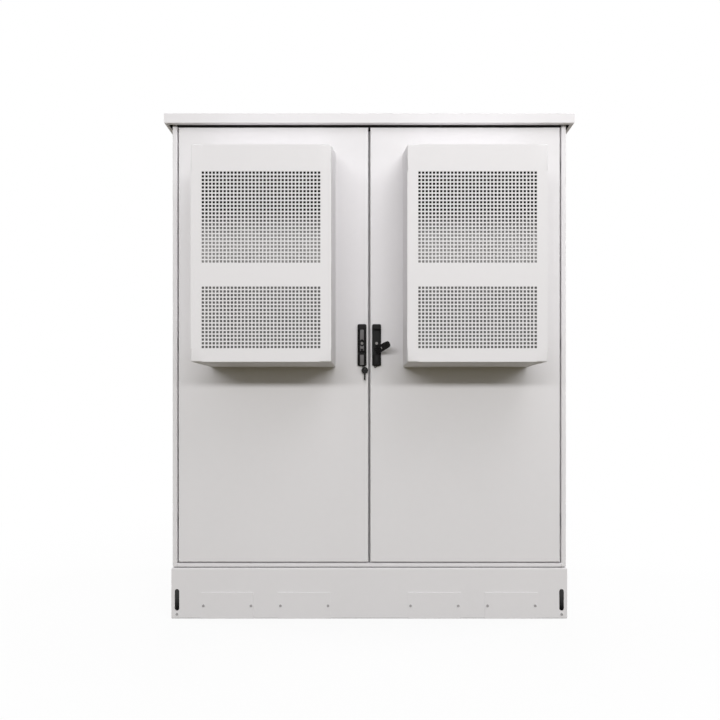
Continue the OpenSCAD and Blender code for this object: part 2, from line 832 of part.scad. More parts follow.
module hood(side) {
  color(paint) on_side(side) translate([0, 0, hood_z0]) difference() {
    hood_form(0);
    translate([0, eps, 0]) hood_form(hood_sheet);
    for (s = screens)
      box([door_mid - screen_w / 2, -hood_d - 1, s[0]],
          [door_mid + screen_w / 2, -hood_d + hood_sheet + 1, s[0] + s[1]]);
  }
}

// A row of slots cut through a sheet leaves one direction of the square mesh
module screen_slots(count, pitch, length) {
  edge = (pitch - hole) / 2;
  for (i = [0 : count - 1]) translate([i * pitch + edge, edge]) square([hole, length - 2 * edge]);
}

// Square-hole screen: upright webs in the front half of the sheet, cross webs in the back half
module screen(w, h) {
  half = hood_sheet / 2;
  slab(-hood_d, -hood_d + half) difference() {
    square([w, h]);
    screen_slots(hole_columns, hole_pitch_x, h);
  }
  slab(-hood_d + half + layer_gap, -hood_d + hood_sheet) difference() {
    square([w, h]);
    translate([0, h]) rotate(-90) screen_slots(round(h / hole_pitch_z), hole_pitch_z, w);
  }
}

module hood_screens(side) {
  color(paint) on_side(side) for (s = screens)
    translate([door_mid - screen_w / 2, 0, hood_z0 + s[0]]) screen(screen_w, s[1]);
}

// Fibre mats that lie on the back of the screens
module filter_mats(side) {
  half = screen_w / 2 + mat_lap;
  back = -hood_d + hood_sheet + layer_gap;
  color(fibre) on_side(side) for (s = screens)
    box([door_mid - half, back, hood_z0 + s[0] - mat_lap],
        [door_mid + half, back + mat_t, hood_z0 + s[0] + s[1] + mat_lap]);
}

// Cooling units

front_fan_z = hood_z0 + upper_screen_z + upper_rows * hole_pitch_z / 2;
fan_d = unit_w * fan_share;
hub_d = fan_d * hub_share;
motor_d = hub_d * motor_share;
duct_r = fan_d / 2 + fan_tip_gap;
rear_fan_edge = 20;
rear_fan_z = unit_z0 + duct_r + rear_fan_edge;
intake_w = unit_w - 40;
intake_h = 200;
return_w = unit_w - 60;
return_edge = 45;
return_gap = 95;
return_h = unit_h - 2 * duct_r - rear_fan_edge - return_edge - return_gap;
intake_mid = hood_z0 + lower_screen_z + lower_rows * hole_pitch_z / 2;
return_mid = unit_z1 - return_edge - return_h / 2;

module cooler_case(side) {
  x0 = door_mid - unit_w / 2;
  x1 = door_mid + unit_w / 2;
  color(inner_steel) on_side(side) difference() {
    union() {
      box([x0, -unit_out, unit_z0], [x1, unit_in, unit_z1]);
      box([x0 - unit_flange, -sheet, unit_z0 - unit_flange],
          [x1 + unit_flange, 0, unit_z1 + unit_flange]);
    }
    box([x0 + sheet, -unit_out + sheet, unit_z0 + sheet], [x1 - sheet, unit_in - sheet, unit_z1 - sheet]);
    translate([door_mid, 0, front_fan_z]) bar_y(2 * duct_r, -unit_out - 1, -unit_out + sheet + 1);
    translate([door_mid, 0, rear_fan_z]) bar_y(2 * duct_r, unit_in - sheet - 1, unit_in + 1);
    box([door_mid - intake_w / 2, -unit_out - 1, intake_mid - intake_h / 2],
        [door_mid + intake_w / 2, -unit_out + sheet + 1, intake_mid + intake_h / 2]);
    box([door_mid - return_w / 2, unit_in - sheet - 1, return_mid - return_h / 2],
        [door_mid + return_w / 2, unit_in + 1, return_mid + return_h / 2]);
  }
}

fan_depth = sheet + duct_l + motor_l + core_clear;
core_y1 = unit_in - fan_depth;
core_d = unit_out + unit_in - 2 * fan_depth;
core_end = 35;
hub_y0 = 7;
hub_face_t = 3;
hub_end_gap = 12;
shaft_gap = 0.3;

// Stack of upright plates between two end caps, filling the case's width
module cooler_core(side) {
  x0 = door_mid - unit_w / 2 + sheet;
  w = unit_w - 2 * sheet;
  plate_t = 1.5;
  cap_t = 4;
  z0 = unit_z0 + core_end;
  z1 = unit_z1 - core_end;
  step = (w - plate_t) / (core_plates - 1);
  color("silver") on_side(side) {
    for (i = [0 : core_plates - 1])
      box([x0 + i * step, core_y1 - core_d, z0], [x0 + i * step + plate_t, core_y1, z1]);
    for (z = [z0, z1 - cap_t]) box([x0, core_y1 - core_d, z], [x0 + w, core_y1, z + cap_t]);
  }
}

// A fan's fixed half, blowing along -Y from a wall at depth 0: plate, duct, spider, motor and shaft
module fan_frame() {
  wall = 2;
  plate = 2 * duct_r + 16;
  arm_w = 14;
  arm_h = 4;
  difference() {
    union() {
      slab(0, wall) translate([-plate / 2, -plate / 2]) square(plate);
      bar_y(2 * (duct_r + wall), 0, duct_l);
    }
    bar_y(2 * duct_r, -1, duct_l + 1);
  }
  for (a = [0, 90])
    rotate([0, a + 45, 0])
      box([-duct_r - wall / 2, duct_l - arm_h, -arm_w / 2], [duct_r + wall / 2, duct_l, arm_w / 2]);
  bar_y(motor_d, duct_l - arm_h, duct_l + motor_l);
  bar_y(fan_shaft_d, hub_y0 + hub_face_t + shaft_gap, duct_l);
}

// The impeller: a hub on the shaft and cambered blades trimmed to the duct
module fan_rotor() {
  camber_r = 90;
  blade_t = 2.5;
  half_chord = 32;
  blade_root = 12;
  hub_y1 = duct_l - hub_end_gap;
  difference() {
    union() {
      bar_y(hub_d, hub_y0, hub_y1);
      intersection() {
        bar_y(fan_d, 0, duct_l);
        for (i = [0 : blades - 1])
          rotate([0, i * 360 / blades, 0]) translate([0, (hub_y0 + hub_y1) / 2, hub_d / 2 - blade_root])
            rotate([0, 0, blade_angle]) linear_extrude(fan_d / 2)
              blade_section(camber_r, blade_t, half_chord);
      }
    }
    bar_y(fan_shaft_d + 2 * running, hub_y0 + hub_face_t, hub_y1 + 1);
  }
}

// A curved strip of even thickness, seen along the blade
module blade_section(r, t, half_chord) {
  intersection() {
    translate([0, -sqrt(r * r - half_chord * half_chord / 4)]) difference() {
      circle(r + t);
      circle(r);
    }
    translate([-half_chord, -half_chord]) square(2 * half_chord);
  }
}

// Places a front fan and a rear fan on their walls of the case
module at_front_fan() {
  translate([door_mid, -unit_out + sheet, front_fan_z]) children();
}

module at_rear_fan() {
  translate([door_mid, unit_in - sheet, rear_fan_z]) rotate([0, 0, 180]) children();
}

module fan_frames(side) {
  color(black_zinc) on_side(side) {
    at_front_fan() fan_frame();
    at_rear_fan() fan_frame();
  }
}

module front_fan(side) {
  color(black_zinc) on_side(side) at_front_fan() fan_rotor();
}

module rear_fan(side) {
  color(black_zinc) on_side(side) at_rear_fan() fan_rotor();
}

// Handles

lever_back = -base_t - lever_gap;
lever_front = lever_back - lever_t;
pivot_y = lever_back - lever_t / 2;
pivot_d = 5;
cheek_r = lever_t / 2 - 0.3;
bevel_y = lever_front + 4;
tongue_w = 9;
tongue_d = 10;
boss_d = plug_d + 7;
boss_gap = 0.6;
plug_gap = 0.8;
plug_back = 4;
lug_x = -5;
lug_z = -base_down - 3;
lug_d = 9;
lug_y0 = -5.5;
lug_y1 = -2.5;
eye_d = 5.2;

// Puts a piece at the handle's turning axis on the door's face
module at_handle(side) {
  on_side(side) translate([handle_x, 0, turn_z]) children();
}

// The same place for a piece that is its own mirror image
module at_spindle(side) {
  translate([side * handle_x, front_y, turn_z]) children();
}

// Turns a piece with the spindle, and lifts a piece about the lever pin
module turned(a) {
  rotate([0, a, 0]) children();
}

module lifted(a) {
  translate([0, pivot_y, 0]) rotate([a, 0, 0]) translate([0, -pivot_y, 0]) children();
}

// The bevelled section that the lever and the block below it share, back to depth y
module grip_outline(y) {
  polygon([
    [-lever_w / 2, y], [-lever_w / 2, bevel_y], [-lever_flat_w / 2, lever_front],
    [lever_flat_w / 2, lever_front], [lever_w / 2, bevel_y], [lever_w / 2, y]
  ]);
}

// Base plate with a raised block at each end of the lever, a lock boss and an eye for the key ring
module handle_base(side) {
  block_w = base_w - 5;
  block_front = lever_front + 2.5;
  block_edge = 2;
  root_clear = 2.5;
  tip_clear = 1.5;
  tip_depth = 8;
  corner = 6;
  color(black_zinc) at_handle(side) difference() {
    union() {
      slab(-base_t, 0) round_rectangle([-base_w / 2, -base_down], [base_w / 2, base_up], corner);
      translate([0, 0, -base_down + block_edge])
        linear_extrude(base_down - block_edge - lever_w / 2 - root_clear)
          grip_outline(-base_t - layer_gap);
      slab(block_front, -base_t - layer_gap) difference() {
        round_rectangle([-block_w / 2, lever_l - tip_depth],
                        [block_w / 2, base_up - block_edge], corner / 2);
        circle(lever_l + tip_clear);
      }
      translate([0, 0, plug_z]) bar_y(boss_d, lever_back + boss_gap, -base_t + eps);
      slab(lug_y0, lug_y1) translate([lug_x, lug_z]) {
        circle(d = lug_d);
        translate([-lug_d / 2, 0]) square([lug_d, lug_d / 2]);
      }
    }
    bar_y(spindle_d + 2 * running, -base_t - 1, 1);
    translate([0, 0, plug_z]) bar_y(plug_d + 2 * running, lever_back - 1, 1);
    translate([lug_x, 0, lug_z]) bar_y(eye_d, lug_y0 - 1, lug_y1 + 1);
  }
}

module lock_plug(side) {
  front = lever_back + plug_gap;
  key_slot = [1.6, 4, 7.2];
  color(bright_steel) at_spindle(side) translate([0, 0, plug_z]) difference() {
    bar_y(plug_d, front, plug_back);
    translate([-key_slot.x / 2, front - eps, -key_slot.z / 2]) cube(key_slot);
  }
}

// Spindle through the door: clevis tongue and collar in front, pinion behind
module spindle(side, turn) {
  collar_d = 25;
  collar_front = lever_back + 0.5;
  color(black_zinc) at_spindle(side) turned(turn) difference() {
    union() {
      bar_y(spindle_d, -base_t - 1, rack_y + gear_t / 2 + 2);
      bar_y(collar_d, collar_front, -base_t - 0.3);
      slab(pivot_y, collar_front + eps)
        translate([-tongue_w / 2, -tongue_d / 2]) square([tongue_w, tongue_d]);
      translate([-tongue_w / 2, pivot_y, 0]) rotate([0, 90, 0]) cylinder(d = tongue_d, h = tongue_w);
      slab(rack_y - gear_t / 2, rack_y + gear_t / 2) pinion_outline();
    }
    translate([-tongue_w, pivot_y, 0]) rotate([0, 90, 0])
      cylinder(d = pivot_d + 2 * running, h = 2 * tongue_w);
  }
}

module lever_pin(side, turn) {
  color(bright_steel) at_spindle(side) turned(turn)
    translate([-lever_w / 2 + 1, pivot_y, 0]) rotate([0, 90, 0]) cylinder(d = pivot_d, h = lever_w - 2);
}

// Lever: bevelled bar with a round tip, a fork at its root and a recessed window over the lock plug
module lever(side, turn, lift) {
  fork_gap = 0.5;
  root_z = 7;
  recess = [15, 28];
  recess_d = 5;
  color(black_zinc) at_spindle(side) turned(turn) lifted(lift) difference() {
    union() {
      intersection() {
        linear_extrude(lever_l + 1) grip_outline(lever_back);
        slab(lever_front - 1, lever_back + 1) {
          polygon([
            [-lever_w / 2, 0], [lever_w / 2, 0],
            [lever_tip_w / 2, lever_l - lever_tip_w / 2], [-lever_tip_w / 2, lever_l - lever_tip_w / 2]
          ]);
          translate([0, lever_l - lever_tip_w / 2]) circle(d = lever_tip_w);
        }
      }
      for (s = [-1, 1])
        translate([s > 0 ? tongue_w / 2 + fork_gap : -lever_w / 2, pivot_y, 0]) rotate([0, 90, 0])
          cylinder(r = cheek_r, h = lever_w / 2 - tongue_w / 2 - fork_gap);
    }
    box([-tongue_w / 2 - fork_gap, lever_front - 1, -1], [tongue_w / 2 + fork_gap, lever_back + 1, root_z]);
    translate([0, 0, plug_z]) {
      bar_y(plug_d + 2, lever_front, lever_back + 1);
      slab(lever_front - 1, lever_front + recess_d) slot_outline(recess.x, recess.y);
    }
    translate([-lever_w, pivot_y, 0]) rotate([0, 90, 0])
      cylinder(d = pivot_d + 2 * running, h = 2 * lever_w);
  }
}

// Spare key on a ring through the left handle's eye, seen in the mirrored left frame.
// The ring's middle lies in front of the eye by its rise, and the key's as far in front of the ring's
module key_set() {
  ring_r = 6;
  rise = 3;
  wire_d = 1.6;
  hang = [-0.55, -0.835];
  key_t = 3;
  blade_t = 2;
  bow_d = 26;
  bow_drop = [-0.5, -6];
  blade = [7, 26];
  ring_y = (lug_y0 + lug_y1) / 2 - rise;
  key_y = ring_y - rise;
  reach = 2 * sqrt(ring_r * ring_r - rise * rise);
  bow_eye = [lug_x, lug_z] + reach * hang;
  bow = bow_eye + bow_drop;
  color(black_zinc) at_handle(-1) {
    translate([lug_x + hang.x * reach / 2, ring_y, lug_z + hang.y * reach / 2])
      rotate([0, atan2(hang.x, hang.y), 0]) rotate([0, 90, 0])
        rotate_extrude() translate([ring_r, 0]) circle(d = wire_d);
    difference() {
      translate([bow.x, 0, bow.y]) {
        bar_y(bow_d, key_y - key_t / 2, key_y + key_t / 2);
        slab(key_y - blade_t / 2, key_y + blade_t / 2) key_blade(bow_d / 2, blade);
      }
      translate([bow_eye.x, 0, bow_eye.y]) bar_y(eye_d, key_y - key_t, key_y + key_t);
    }
  }
}

// Blade of a flat key below its bow, with its bitting cut in one edge
module key_blade(r, size) {
  cuts = 4;
  cut_start = 3;
  cut_step = 5;
  tip_cut = 4;
  difference() {
    translate([-size.x / 2, -r - size.y]) square([size.x, size.y + 2]);
    for (i = [0 : cuts - 1])
      translate([-size.x / 2, -r - size.y + cut_start + i * cut_step])
        circle(r = 1.2 + 0.3 * (i % 2), $fn = 24);
    translate([size.x / 2, -r - size.y]) rotate(45) square(tip_cut, center = true);
  }
}

// Rod locks

addendum = 0.8 * gear_module;
pressure = 20;
base_r = pitch_r * cos(pressure);
tooth_pitch = PI * gear_module;

// Involute tooth flank: polar angle in degrees at roll t in radians, measured back from the base circle
function involute_angle(t) = t * 180 / PI - atan(t);
function involute_point(t, a) = let (r = base_r * sqrt(1 + t * t)) [r * cos(a), r * sin(a)];
function polar(r, a) = [r * cos(a), r * sin(a)];

// Half the tooth's angle at the base circle, thinned by the backlash
half_base = ((tooth_pitch / 2 - backlash) / (2 * pitch_r)) * 180 / PI
            + tan(pressure) * 180 / PI - pressure;
tip_roll = sqrt(pow((pitch_r + addendum) / base_r, 2) - 1);
flank_steps = 4;

function tooth_points(a) = concat(
  [polar(pitch_r - dedendum, a - half_base)],
  [for (i = [0 : flank_steps]) let (t = tip_roll * i / flank_steps)
    involute_point(t, a - half_base + involute_angle(t))],
  [for (i = [flank_steps : -1 : 0]) let (t = tip_roll * i / flank_steps)
    involute_point(t, a + half_base - involute_angle(t))],
  [polar(pitch_r - dedendum, a + half_base)]
);

module pinion_outline() {
  polygon([for (i = [0 : pinion_teeth - 1]) each tooth_points(i * 360 / pinion_teeth)]);
}

rack_half = rack_teeth / 2 * tooth_pitch;
rack_back = pitch_r + dedendum + rack_back_t;

// A rack on the right of the pinion, with a tooth space level with the turning axis
module rack_outline() {
  half_root = (tooth_pitch / 2 - backlash) / 2 + dedendum * tan(pressure);
  half_tip = (tooth_pitch / 2 - backlash) / 2 - addendum * tan(pressure);
  root = pitch_r + dedendum;
  translate([root, -rack_half]) square([rack_back - root, 2 * rack_half]);
  for (i = [0 : rack_teeth - 1]) translate([0, (i + 0.5) * tooth_pitch - rack_half])
    polygon([
      [root + 1, -half_root], [root, -half_root], [pitch_r - addendum, -half_tip],
      [pitch_r - addendum, half_tip], [root, half_root], [root + 1, half_root]
    ]);
}

// One lock rod with its rack. Up is 1 for the upper rod and -1 for the lower, seen on the right door
module lock_rod(side, up, turn) {
  drawn = pitch_r * turn * PI / 180;
  tip = up > 0 ? door_z1 + rod_throw - turn_z : turn_z - door_z0 + rod_throw;
  color(bright_steel) at_handle(side) translate([0, 0, -up * drawn]) rotate([0, up > 0 ? 0 : 180, 0]) {
    slab(rack_y - gear_t / 2, rack_y + gear_t / 2) rack_outline();
    translate([rod_x, rack_y, rack_half - eps]) cylinder(d = rod_d, h = tip - rack_half);
  }
}

case_wall = 2;

// Box behind the door's face that holds the pinion and racks
module lock_case(side) {
  travel = pitch_r * PI / 2;
  side_clear = 0.3;
  end_clear = 1;
  back_clear = 6;
  half_in = rod_x + rod_d / 2 + side_clear;
  half_z = rack_half + travel + end_clear;
  y0 = sheet;
  y1 = rack_y + gear_t / 2 + back_clear;
  color(bright_steel) at_handle(side) difference() {
    box([-half_in - case_wall, y0, -half_z - case_wall], [half_in + case_wall, y1, half_z + case_wall]);
    box([-half_in, y0 + case_wall, -half_z], [half_in, y1 - case_wall, half_z]);
    bar_y(spindle_d + 2 * running, y0 - 1, y0 + case_wall + 1);
    translate([0, 0, plug_z]) bar_y(plug_d + 2 * hole_clear, y0 - 1, y0 + case_wall + 1);
    for (s = [-1, 1])
      translate([s * rod_x, rack_y, s * half_z - 2 * case_wall])
        cylinder(d = rod_d + 2 * side_clear, h = 4 * case_wall);
  }
}

plinth_frame();
plinth_covers();
plinth_screws();
base_seal();
floor_panel();
gland_plates();
side_panel(-1);  // left_side_panel
side_panel(1);  // right_side_panel
front_header();
front_sill();
centre_post();
bay_divider();
ceiling_panel();
back_panels();
roof_cap();
bay_rails(-1);  // left_bay_rails
bay_rails(1);  // right_bay_rails
earth_bar();
hinge_brackets(-1);  // left_hinge_brackets
hinge_brackets(1);  // right_hinge_brackets
door_panel(-1);  // left_door_panel
door_seal(-1);  // left_door_seal
hinge_leaves(-1);  // left_hinge_leaves
hood(-1);  // left_hood
hood_screens(-1);  // left_screens
filter_mats(-1);  // left_filter_mats
cooler_case(-1);  // left_cooler_case
cooler_core(-1);  // left_cooler_core
fan_frames(-1);  // left_fan_frames
front_fan(-1);  // left_front_fan
rear_fan(-1);  // left_rear_fan
handle_base(-1);  // left_handle_base
lock_plug(-1);  // left_lock_plug
spindle(-1, 0);  // left_spindle
lever_pin(-1, 0);  // left_lever_pin
lever(-1, 0, 0);  // left_lever
lock_case(-1);  // left_lock_case
lock_rod(-1, 1, 0);  // left_upper_rod
lock_rod(-1, -1, 0);  // left_lower_rod
key_set();
door_panel(1);  // right_door_panel
door_seal(1);  // right_door_seal
hinge_leaves(1);  // right_hinge_leaves
hood(1);  // right_hood
hood_screens(1);  // right_screens
filter_mats(1);  // right_filter_mats
cooler_case(1);  // right_cooler_case
cooler_core(1);  // right_cooler_core
fan_frames(1);  // right_fan_frames
front_fan(1);  // right_front_fan
rear_fan(1);  // right_rear_fan
handle_base(1);  // right_handle_base
lock_plug(1);  // right_lock_plug
spindle(1, right_turn);  // right_spindle
lever_pin(1, right_turn);  // right_lever_pin
lever(1, right_turn, right_lift);  // right_lever
lock_case(1);  // right_lock_case
lock_rod(1, 1, right_turn);  // right_upper_rod
lock_rod(1, -1, right_turn);  // right_lower_rod
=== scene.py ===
"""Looks of a two-bay roadside utility cabinet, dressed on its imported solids."""

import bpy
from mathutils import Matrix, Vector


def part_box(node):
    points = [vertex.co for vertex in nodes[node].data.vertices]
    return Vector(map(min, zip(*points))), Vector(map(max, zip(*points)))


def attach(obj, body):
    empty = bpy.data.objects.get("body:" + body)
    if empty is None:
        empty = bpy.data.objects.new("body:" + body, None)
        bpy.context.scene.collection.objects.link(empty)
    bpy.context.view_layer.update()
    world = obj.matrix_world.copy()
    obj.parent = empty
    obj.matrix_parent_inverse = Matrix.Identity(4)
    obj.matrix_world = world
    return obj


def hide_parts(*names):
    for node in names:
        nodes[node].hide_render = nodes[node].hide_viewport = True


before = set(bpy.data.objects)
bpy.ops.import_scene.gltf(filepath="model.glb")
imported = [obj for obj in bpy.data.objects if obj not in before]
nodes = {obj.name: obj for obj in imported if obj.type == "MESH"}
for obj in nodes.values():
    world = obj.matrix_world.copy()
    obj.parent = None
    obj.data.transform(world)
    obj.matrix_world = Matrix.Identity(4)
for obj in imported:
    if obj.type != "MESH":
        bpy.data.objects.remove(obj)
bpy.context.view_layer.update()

import math

import bmesh
import bpy
from mathutils import Matrix, Vector, noise

# Camera. The photograph looks straight at the doors from below the middle of their height, with
# its frame shifted so that the upright edges stay upright.
scene = bpy.context.scene
door_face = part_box("left_door_panel")[0].y
view_distance = 2.350
eye_height = 0.821
camera_data = bpy.data.cameras.new("camera")
camera_data.sensor_width = 36
camera_data.lens = 29.85
camera_data.shift_x = -0.0129
camera_data.shift_y = 0.0694
camera = bpy.data.objects.new("camera", camera_data)
camera.location = (0, door_face - view_distance, eye_height)
camera.rotation_euler = (math.radians(90), 0, 0)
scene.collection.objects.link(camera)
scene.camera = camera


# Studio. A white room with a long row of lamps high behind the viewer, which throws the shadows of
# the hoods, and a like row behind the cabinet. A lamp stands on each side, and a small one hangs
# above. The white floor keeps a soft shadow.
class Wire:
    """A socket of a material's nodes that Python's operators can work on."""

    def __init__(self, tree, socket=None):
        self.tree = tree
        self.socket = socket

    def add(self, kind, settings=None, out=0, **sockets):
        """A new node: its settings first, then the values or links of its sockets."""
        node = self.tree.nodes.new("ShaderNode" + kind)
        for key, value in (settings or {}).items():
            setattr(node, key, value)
        for name, value in sockets.items():
            key = int(name[1:]) if name[0] == "_" else name.replace("_", " ")
            if isinstance(value, Wire):
                self.tree.links.new(value.socket, node.inputs[key])
            else:
                node.inputs[key].default_value = value
        return Wire(self.tree, node.outputs[out])

    def maths(self, operation, first, second):
        """One Math node on two values."""
        return self.add("Math", {"operation": operation}, _0=first, _1=second)

    def __add__(self, other):
        return self.maths("ADD", self, other)

    def __sub__(self, other):
        return self.maths("SUBTRACT", self, other)

    def __rsub__(self, other):
        return self.maths("SUBTRACT", other, self)

    def __mul__(self, other):
        return self.maths("MULTIPLY", self, other)

    __radd__ = __add__
    __rmul__ = __mul__

    def between(self, low, high):
        """1 where this value lies between two limits, and 0 elsewhere."""
        return self.maths("GREATER_THAN", self, low) * self.maths("LESS_THAN", self, high)

    def ramp(self, start, end, first=0.0, last=1.0):
        """A smooth change from first to last as this value goes from start to end."""
        return self.add("MapRange", {"interpolation_type": "SMOOTHSTEP"}, Value=self,
                        From_Min=start, From_Max=end, To_Min=first, To_Max=last)

    def blend(self, low, high):
        """The colour low where this value is 0, and high where it is 1."""
        return self.add("Mix", {"data_type": "RGBA"}, 2, _0=self, _6=low, _7=high)


def new_material(name):
    """A material without nodes, and a wire to build them from."""
    material = bpy.data.materials.new(name)
    material.use_nodes = True
    material.node_tree.nodes.clear()
    return material, Wire(material.node_tree)


def end_with(wire, shader, kind="Material"):
    """Joins a shader to the output of a material or world."""
    output = wire.tree.nodes.new("ShaderNodeOutput" + kind)
    wire.tree.links.new(shader.socket, output.inputs["Surface"])


def seen_directly(wire):
    """1 for a ray that shows the background itself, in a mirror or through glass, 0 for light."""
    kinds = ("Is Camera Ray", "Is Glossy Ray", "Is Transmission Ray")
    rays = [wire.add("LightPath", out=kind) for kind in kinds]
    return wire.maths("MINIMUM", rays[0] + rays[1] + rays[2], 1.0)


floor_half = 30.0
plain_white = (1, 1, 1, 1)
paper_tone = (0.85, 0.85, 0.85, 1)
bounce_tone = (0.075, 0.062, 0.018, 1)
shadow_near, shadow_far = 1.2, 3.0
white_near = 0.88
floor_bm = bmesh.new()
bmesh.ops.create_grid(floor_bm, x_segments=1, y_segments=1, size=floor_half)
floor_mesh = bpy.data.meshes.new("floor")
floor_bm.to_mesh(floor_mesh)
floor_bm.free()
floor = bpy.data.objects.new("floor", floor_mesh)
scene.collection.objects.link(floor)
floor_material, wire = new_material("pale_floor")
bounce = wire.add("BsdfDiffuse", Color=bounce_tone)
paper = wire.add("BsdfDiffuse", Color=paper_tone)
white = wire.add("Emission", Color=plain_white, Strength=1.0)
from_middle = wire.add("VectorMath", {"operation": "LENGTH"}, "Value",
                       _0=wire.add("TexCoord", out="Object"))
whiteness = from_middle.ramp(shadow_near, shadow_far, white_near, 1.0)
pale = wire.add("MixShader", _0=whiteness, _1=paper, _2=white)
end_with(wire, wire.add("MixShader", _0=seen_directly(wire), _1=bounce, _2=pale))
floor_mesh.materials.append(floor_material)

sky_strength = 0.51
world = bpy.data.worlds.new("soft_sky")
scene.world = world
world.use_nodes = True
world.node_tree.nodes.clear()
wire = Wire(world.node_tree)
sky = wire.add("Background", Color=plain_white, Strength=sky_strength)
shown = wire.add("Background", Color=plain_white, Strength=1.0)
end_with(wire, wire.add("MixShader", _0=seen_directly(wire), _1=sky, _2=shown), "World")


def add_lamp(name, place, aim, size, power):
    """A flat soft lamp of a width and height at a place, turned to what it lights."""
    data = bpy.data.lights.new(name, "AREA")
    data.shape = "RECTANGLE"
    data.size, data.size_y = size
    data.energy = power
    lamp = bpy.data.objects.new(name, data)
    lamp.location = place
    lamp.rotation_euler = (Vector(aim) - Vector(place)).to_track_quat("-Z", "Y").to_euler()
    scene.collection.objects.link(lamp)


lamp_reach = 7.9
lamp_height = 2.9
lit_height = 0.9
row_size, row_power = (9.2, 0.6), 382
side_size, side_power = (3.0, 0.6), 240
add_lamp("top_lamp", place=(0.9, -1.9, 3.4), aim=(0, -0.4, 1.5), size=(1.8, 1.8), power=20)
for name, way in (("front_row", -1), ("back_row", 1)):
    add_lamp(name, (0, way * lamp_reach, lamp_height), (0, way * 0.4, lit_height),
             row_size, row_power)
for name, way in (("left_lamp", -1), ("right_lamp", 1)):
    add_lamp(name, (way * lamp_reach, 1.6, lamp_height), (way * 0.8, 0, lit_height),
             side_size, side_power)
scene.view_settings.view_transform = "Standard"


# Plinth. A welded sheet frame with a light grey powder coat outside. Its inside is painted near
# black, a painted shade that shows through its lifting slots. Four covers are screwed over its cable
# entries with plated screws.
def linear(red, green, blue):
    """A screen colour from 0 to 255 as the linear colour that a shader takes."""
    def straighten(value):
        share = value / 255
        return share / 12.92 if share <= 0.04045 else ((share + 0.055) / 1.055) ** 2.4
    return (straighten(red), straighten(green), straighten(blue), 1)


def scaled(colour, share):
    """A colour made darker or paler by a share."""
    return tuple(share * part for part in colour[:3]) + (1,)


def powder_coat(name, tone, hollow=None, shade_tone=None):
    """Semi-matt coat with a fine orange peel. Faces within the hollow's corners get a painted shade.
    """
    material, wire = new_material(name)
    place = wire.add("TexCoord", out="Object")
    drift = wire.add("TexNoise", Vector=place, Scale=2.3, Detail=3.0, Roughness=0.5)
    cloud = wire.add("TexNoise", Vector=place, Scale=38.0, Detail=2.0, Roughness=0.5)
    grain = wire.add("TexNoise", Vector=place, Scale=900.0, Detail=2.0, Roughness=0.6)
    colour = (drift * 0.7 + cloud * 0.3).blend(scaled(tone, 0.94), tone)
    if hollow:
        low, high = hollow
        axes = [wire.add("SeparateXYZ", out=axis, Vector=place) for axis in "XYZ"]
        inside = [axis.between(start, end) for axis, start, end in zip(axes, low, high)]
        colour = (inside[0] * inside[1] * inside[2]).blend(colour, shade_tone)
    coat = wire.add("BsdfPrincipled", Base_Color=colour, Specular_IOR_Level=0.2,
                    Roughness=0.40 + drift * 0.14 + grain * 0.06,
                    Normal=wire.add("Bump", Strength=0.12, Distance=0.0004, Height=grain))
    end_with(wire, coat)
    return material


def plated_steel(name, tone, polish):
    """Turned or stamped steel with a thin plating and faint upright scratches."""
    material, wire = new_material(name)
    place = wire.add("TexCoord", out="Object")
    stretched = wire.add("Mapping", Vector=place, Scale=(900.0, 900.0, 30.0))
    scratch = wire.add("TexNoise", Vector=stretched, Scale=1.0, Detail=3.0)
    stain = wire.add("TexNoise", Vector=place, Scale=60.0, Detail=2.0)
    steel = wire.add("BsdfPrincipled", Metallic=1.0, Roughness=polish + scratch * 0.22,
                     Base_Color=(scratch * 0.4 + stain * 0.6).blend(scaled(tone, 0.7), tone),
                     Normal=wire.add("Bump", Strength=0.08, Distance=0.0002, Height=scratch))
    end_with(wire, steel)
    return material


def finish_node(material, *names):
    """Gives carried-over solids their material."""
    for name in names:
        nodes[name].data.materials.clear()
        nodes[name].data.materials.append(material)


paint_tone = linear(228, 226, 228)
# Near-black painted shade for the inside of the plinth, seen through its slots.
plinth_painted_shade = linear(20, 19, 19)
shade_inset = Vector((0.002, 0.002, 0.002))
plinth_low, plinth_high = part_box("plinth_frame")
plinth_hollow = (plinth_low + shade_inset, plinth_high - shade_inset)
cabinet_paint = powder_coat("cabinet_paint", paint_tone)
plinth_paint = powder_coat("plinth_paint", paint_tone, plinth_hollow, plinth_painted_shade)
bright_steel = plated_steel("bright_steel", linear(200, 200, 202), polish=0.22)
screw_steel = plated_steel("screw_steel", linear(165, 163, 162), polish=0.36)
finish_node(plinth_paint, "plinth_frame")
finish_node(cabinet_paint, "plinth_covers")
finish_node(screw_steel, "plinth_screws")


# Rubber seals. One flat ring lies between the plinth and the carcass, and one square ring is glued
# to the back of each door: matt black foam with a fine open grain.
def foam_rubber(name, tone, haze_tone):
    """Matt foam with open pores and a slow haze."""
    material, wire = new_material(name)
    place = wire.add("TexCoord", out="Object")
    pores = wire.add("TexVoronoi", {"feature": "F1"}, "Distance", Vector=place, Scale=1100.0)
    haze = wire.add("TexNoise", Vector=place, Scale=40.0, Detail=2.0)
    foam = wire.add("BsdfPrincipled", Base_Color=haze.blend(tone, haze_tone),
                    Roughness=0.82 + haze * 0.1,
                    Normal=wire.add("Bump", Strength=0.5, Distance=0.0005, Height=pores))
    end_with(wire, foam)
    return material


seal_rubber = foam_rubber("seal_rubber", linear(24, 24, 25), linear(40, 40, 41))
finish_node(seal_rubber, "base_seal", "left_door_seal", "right_door_seal")
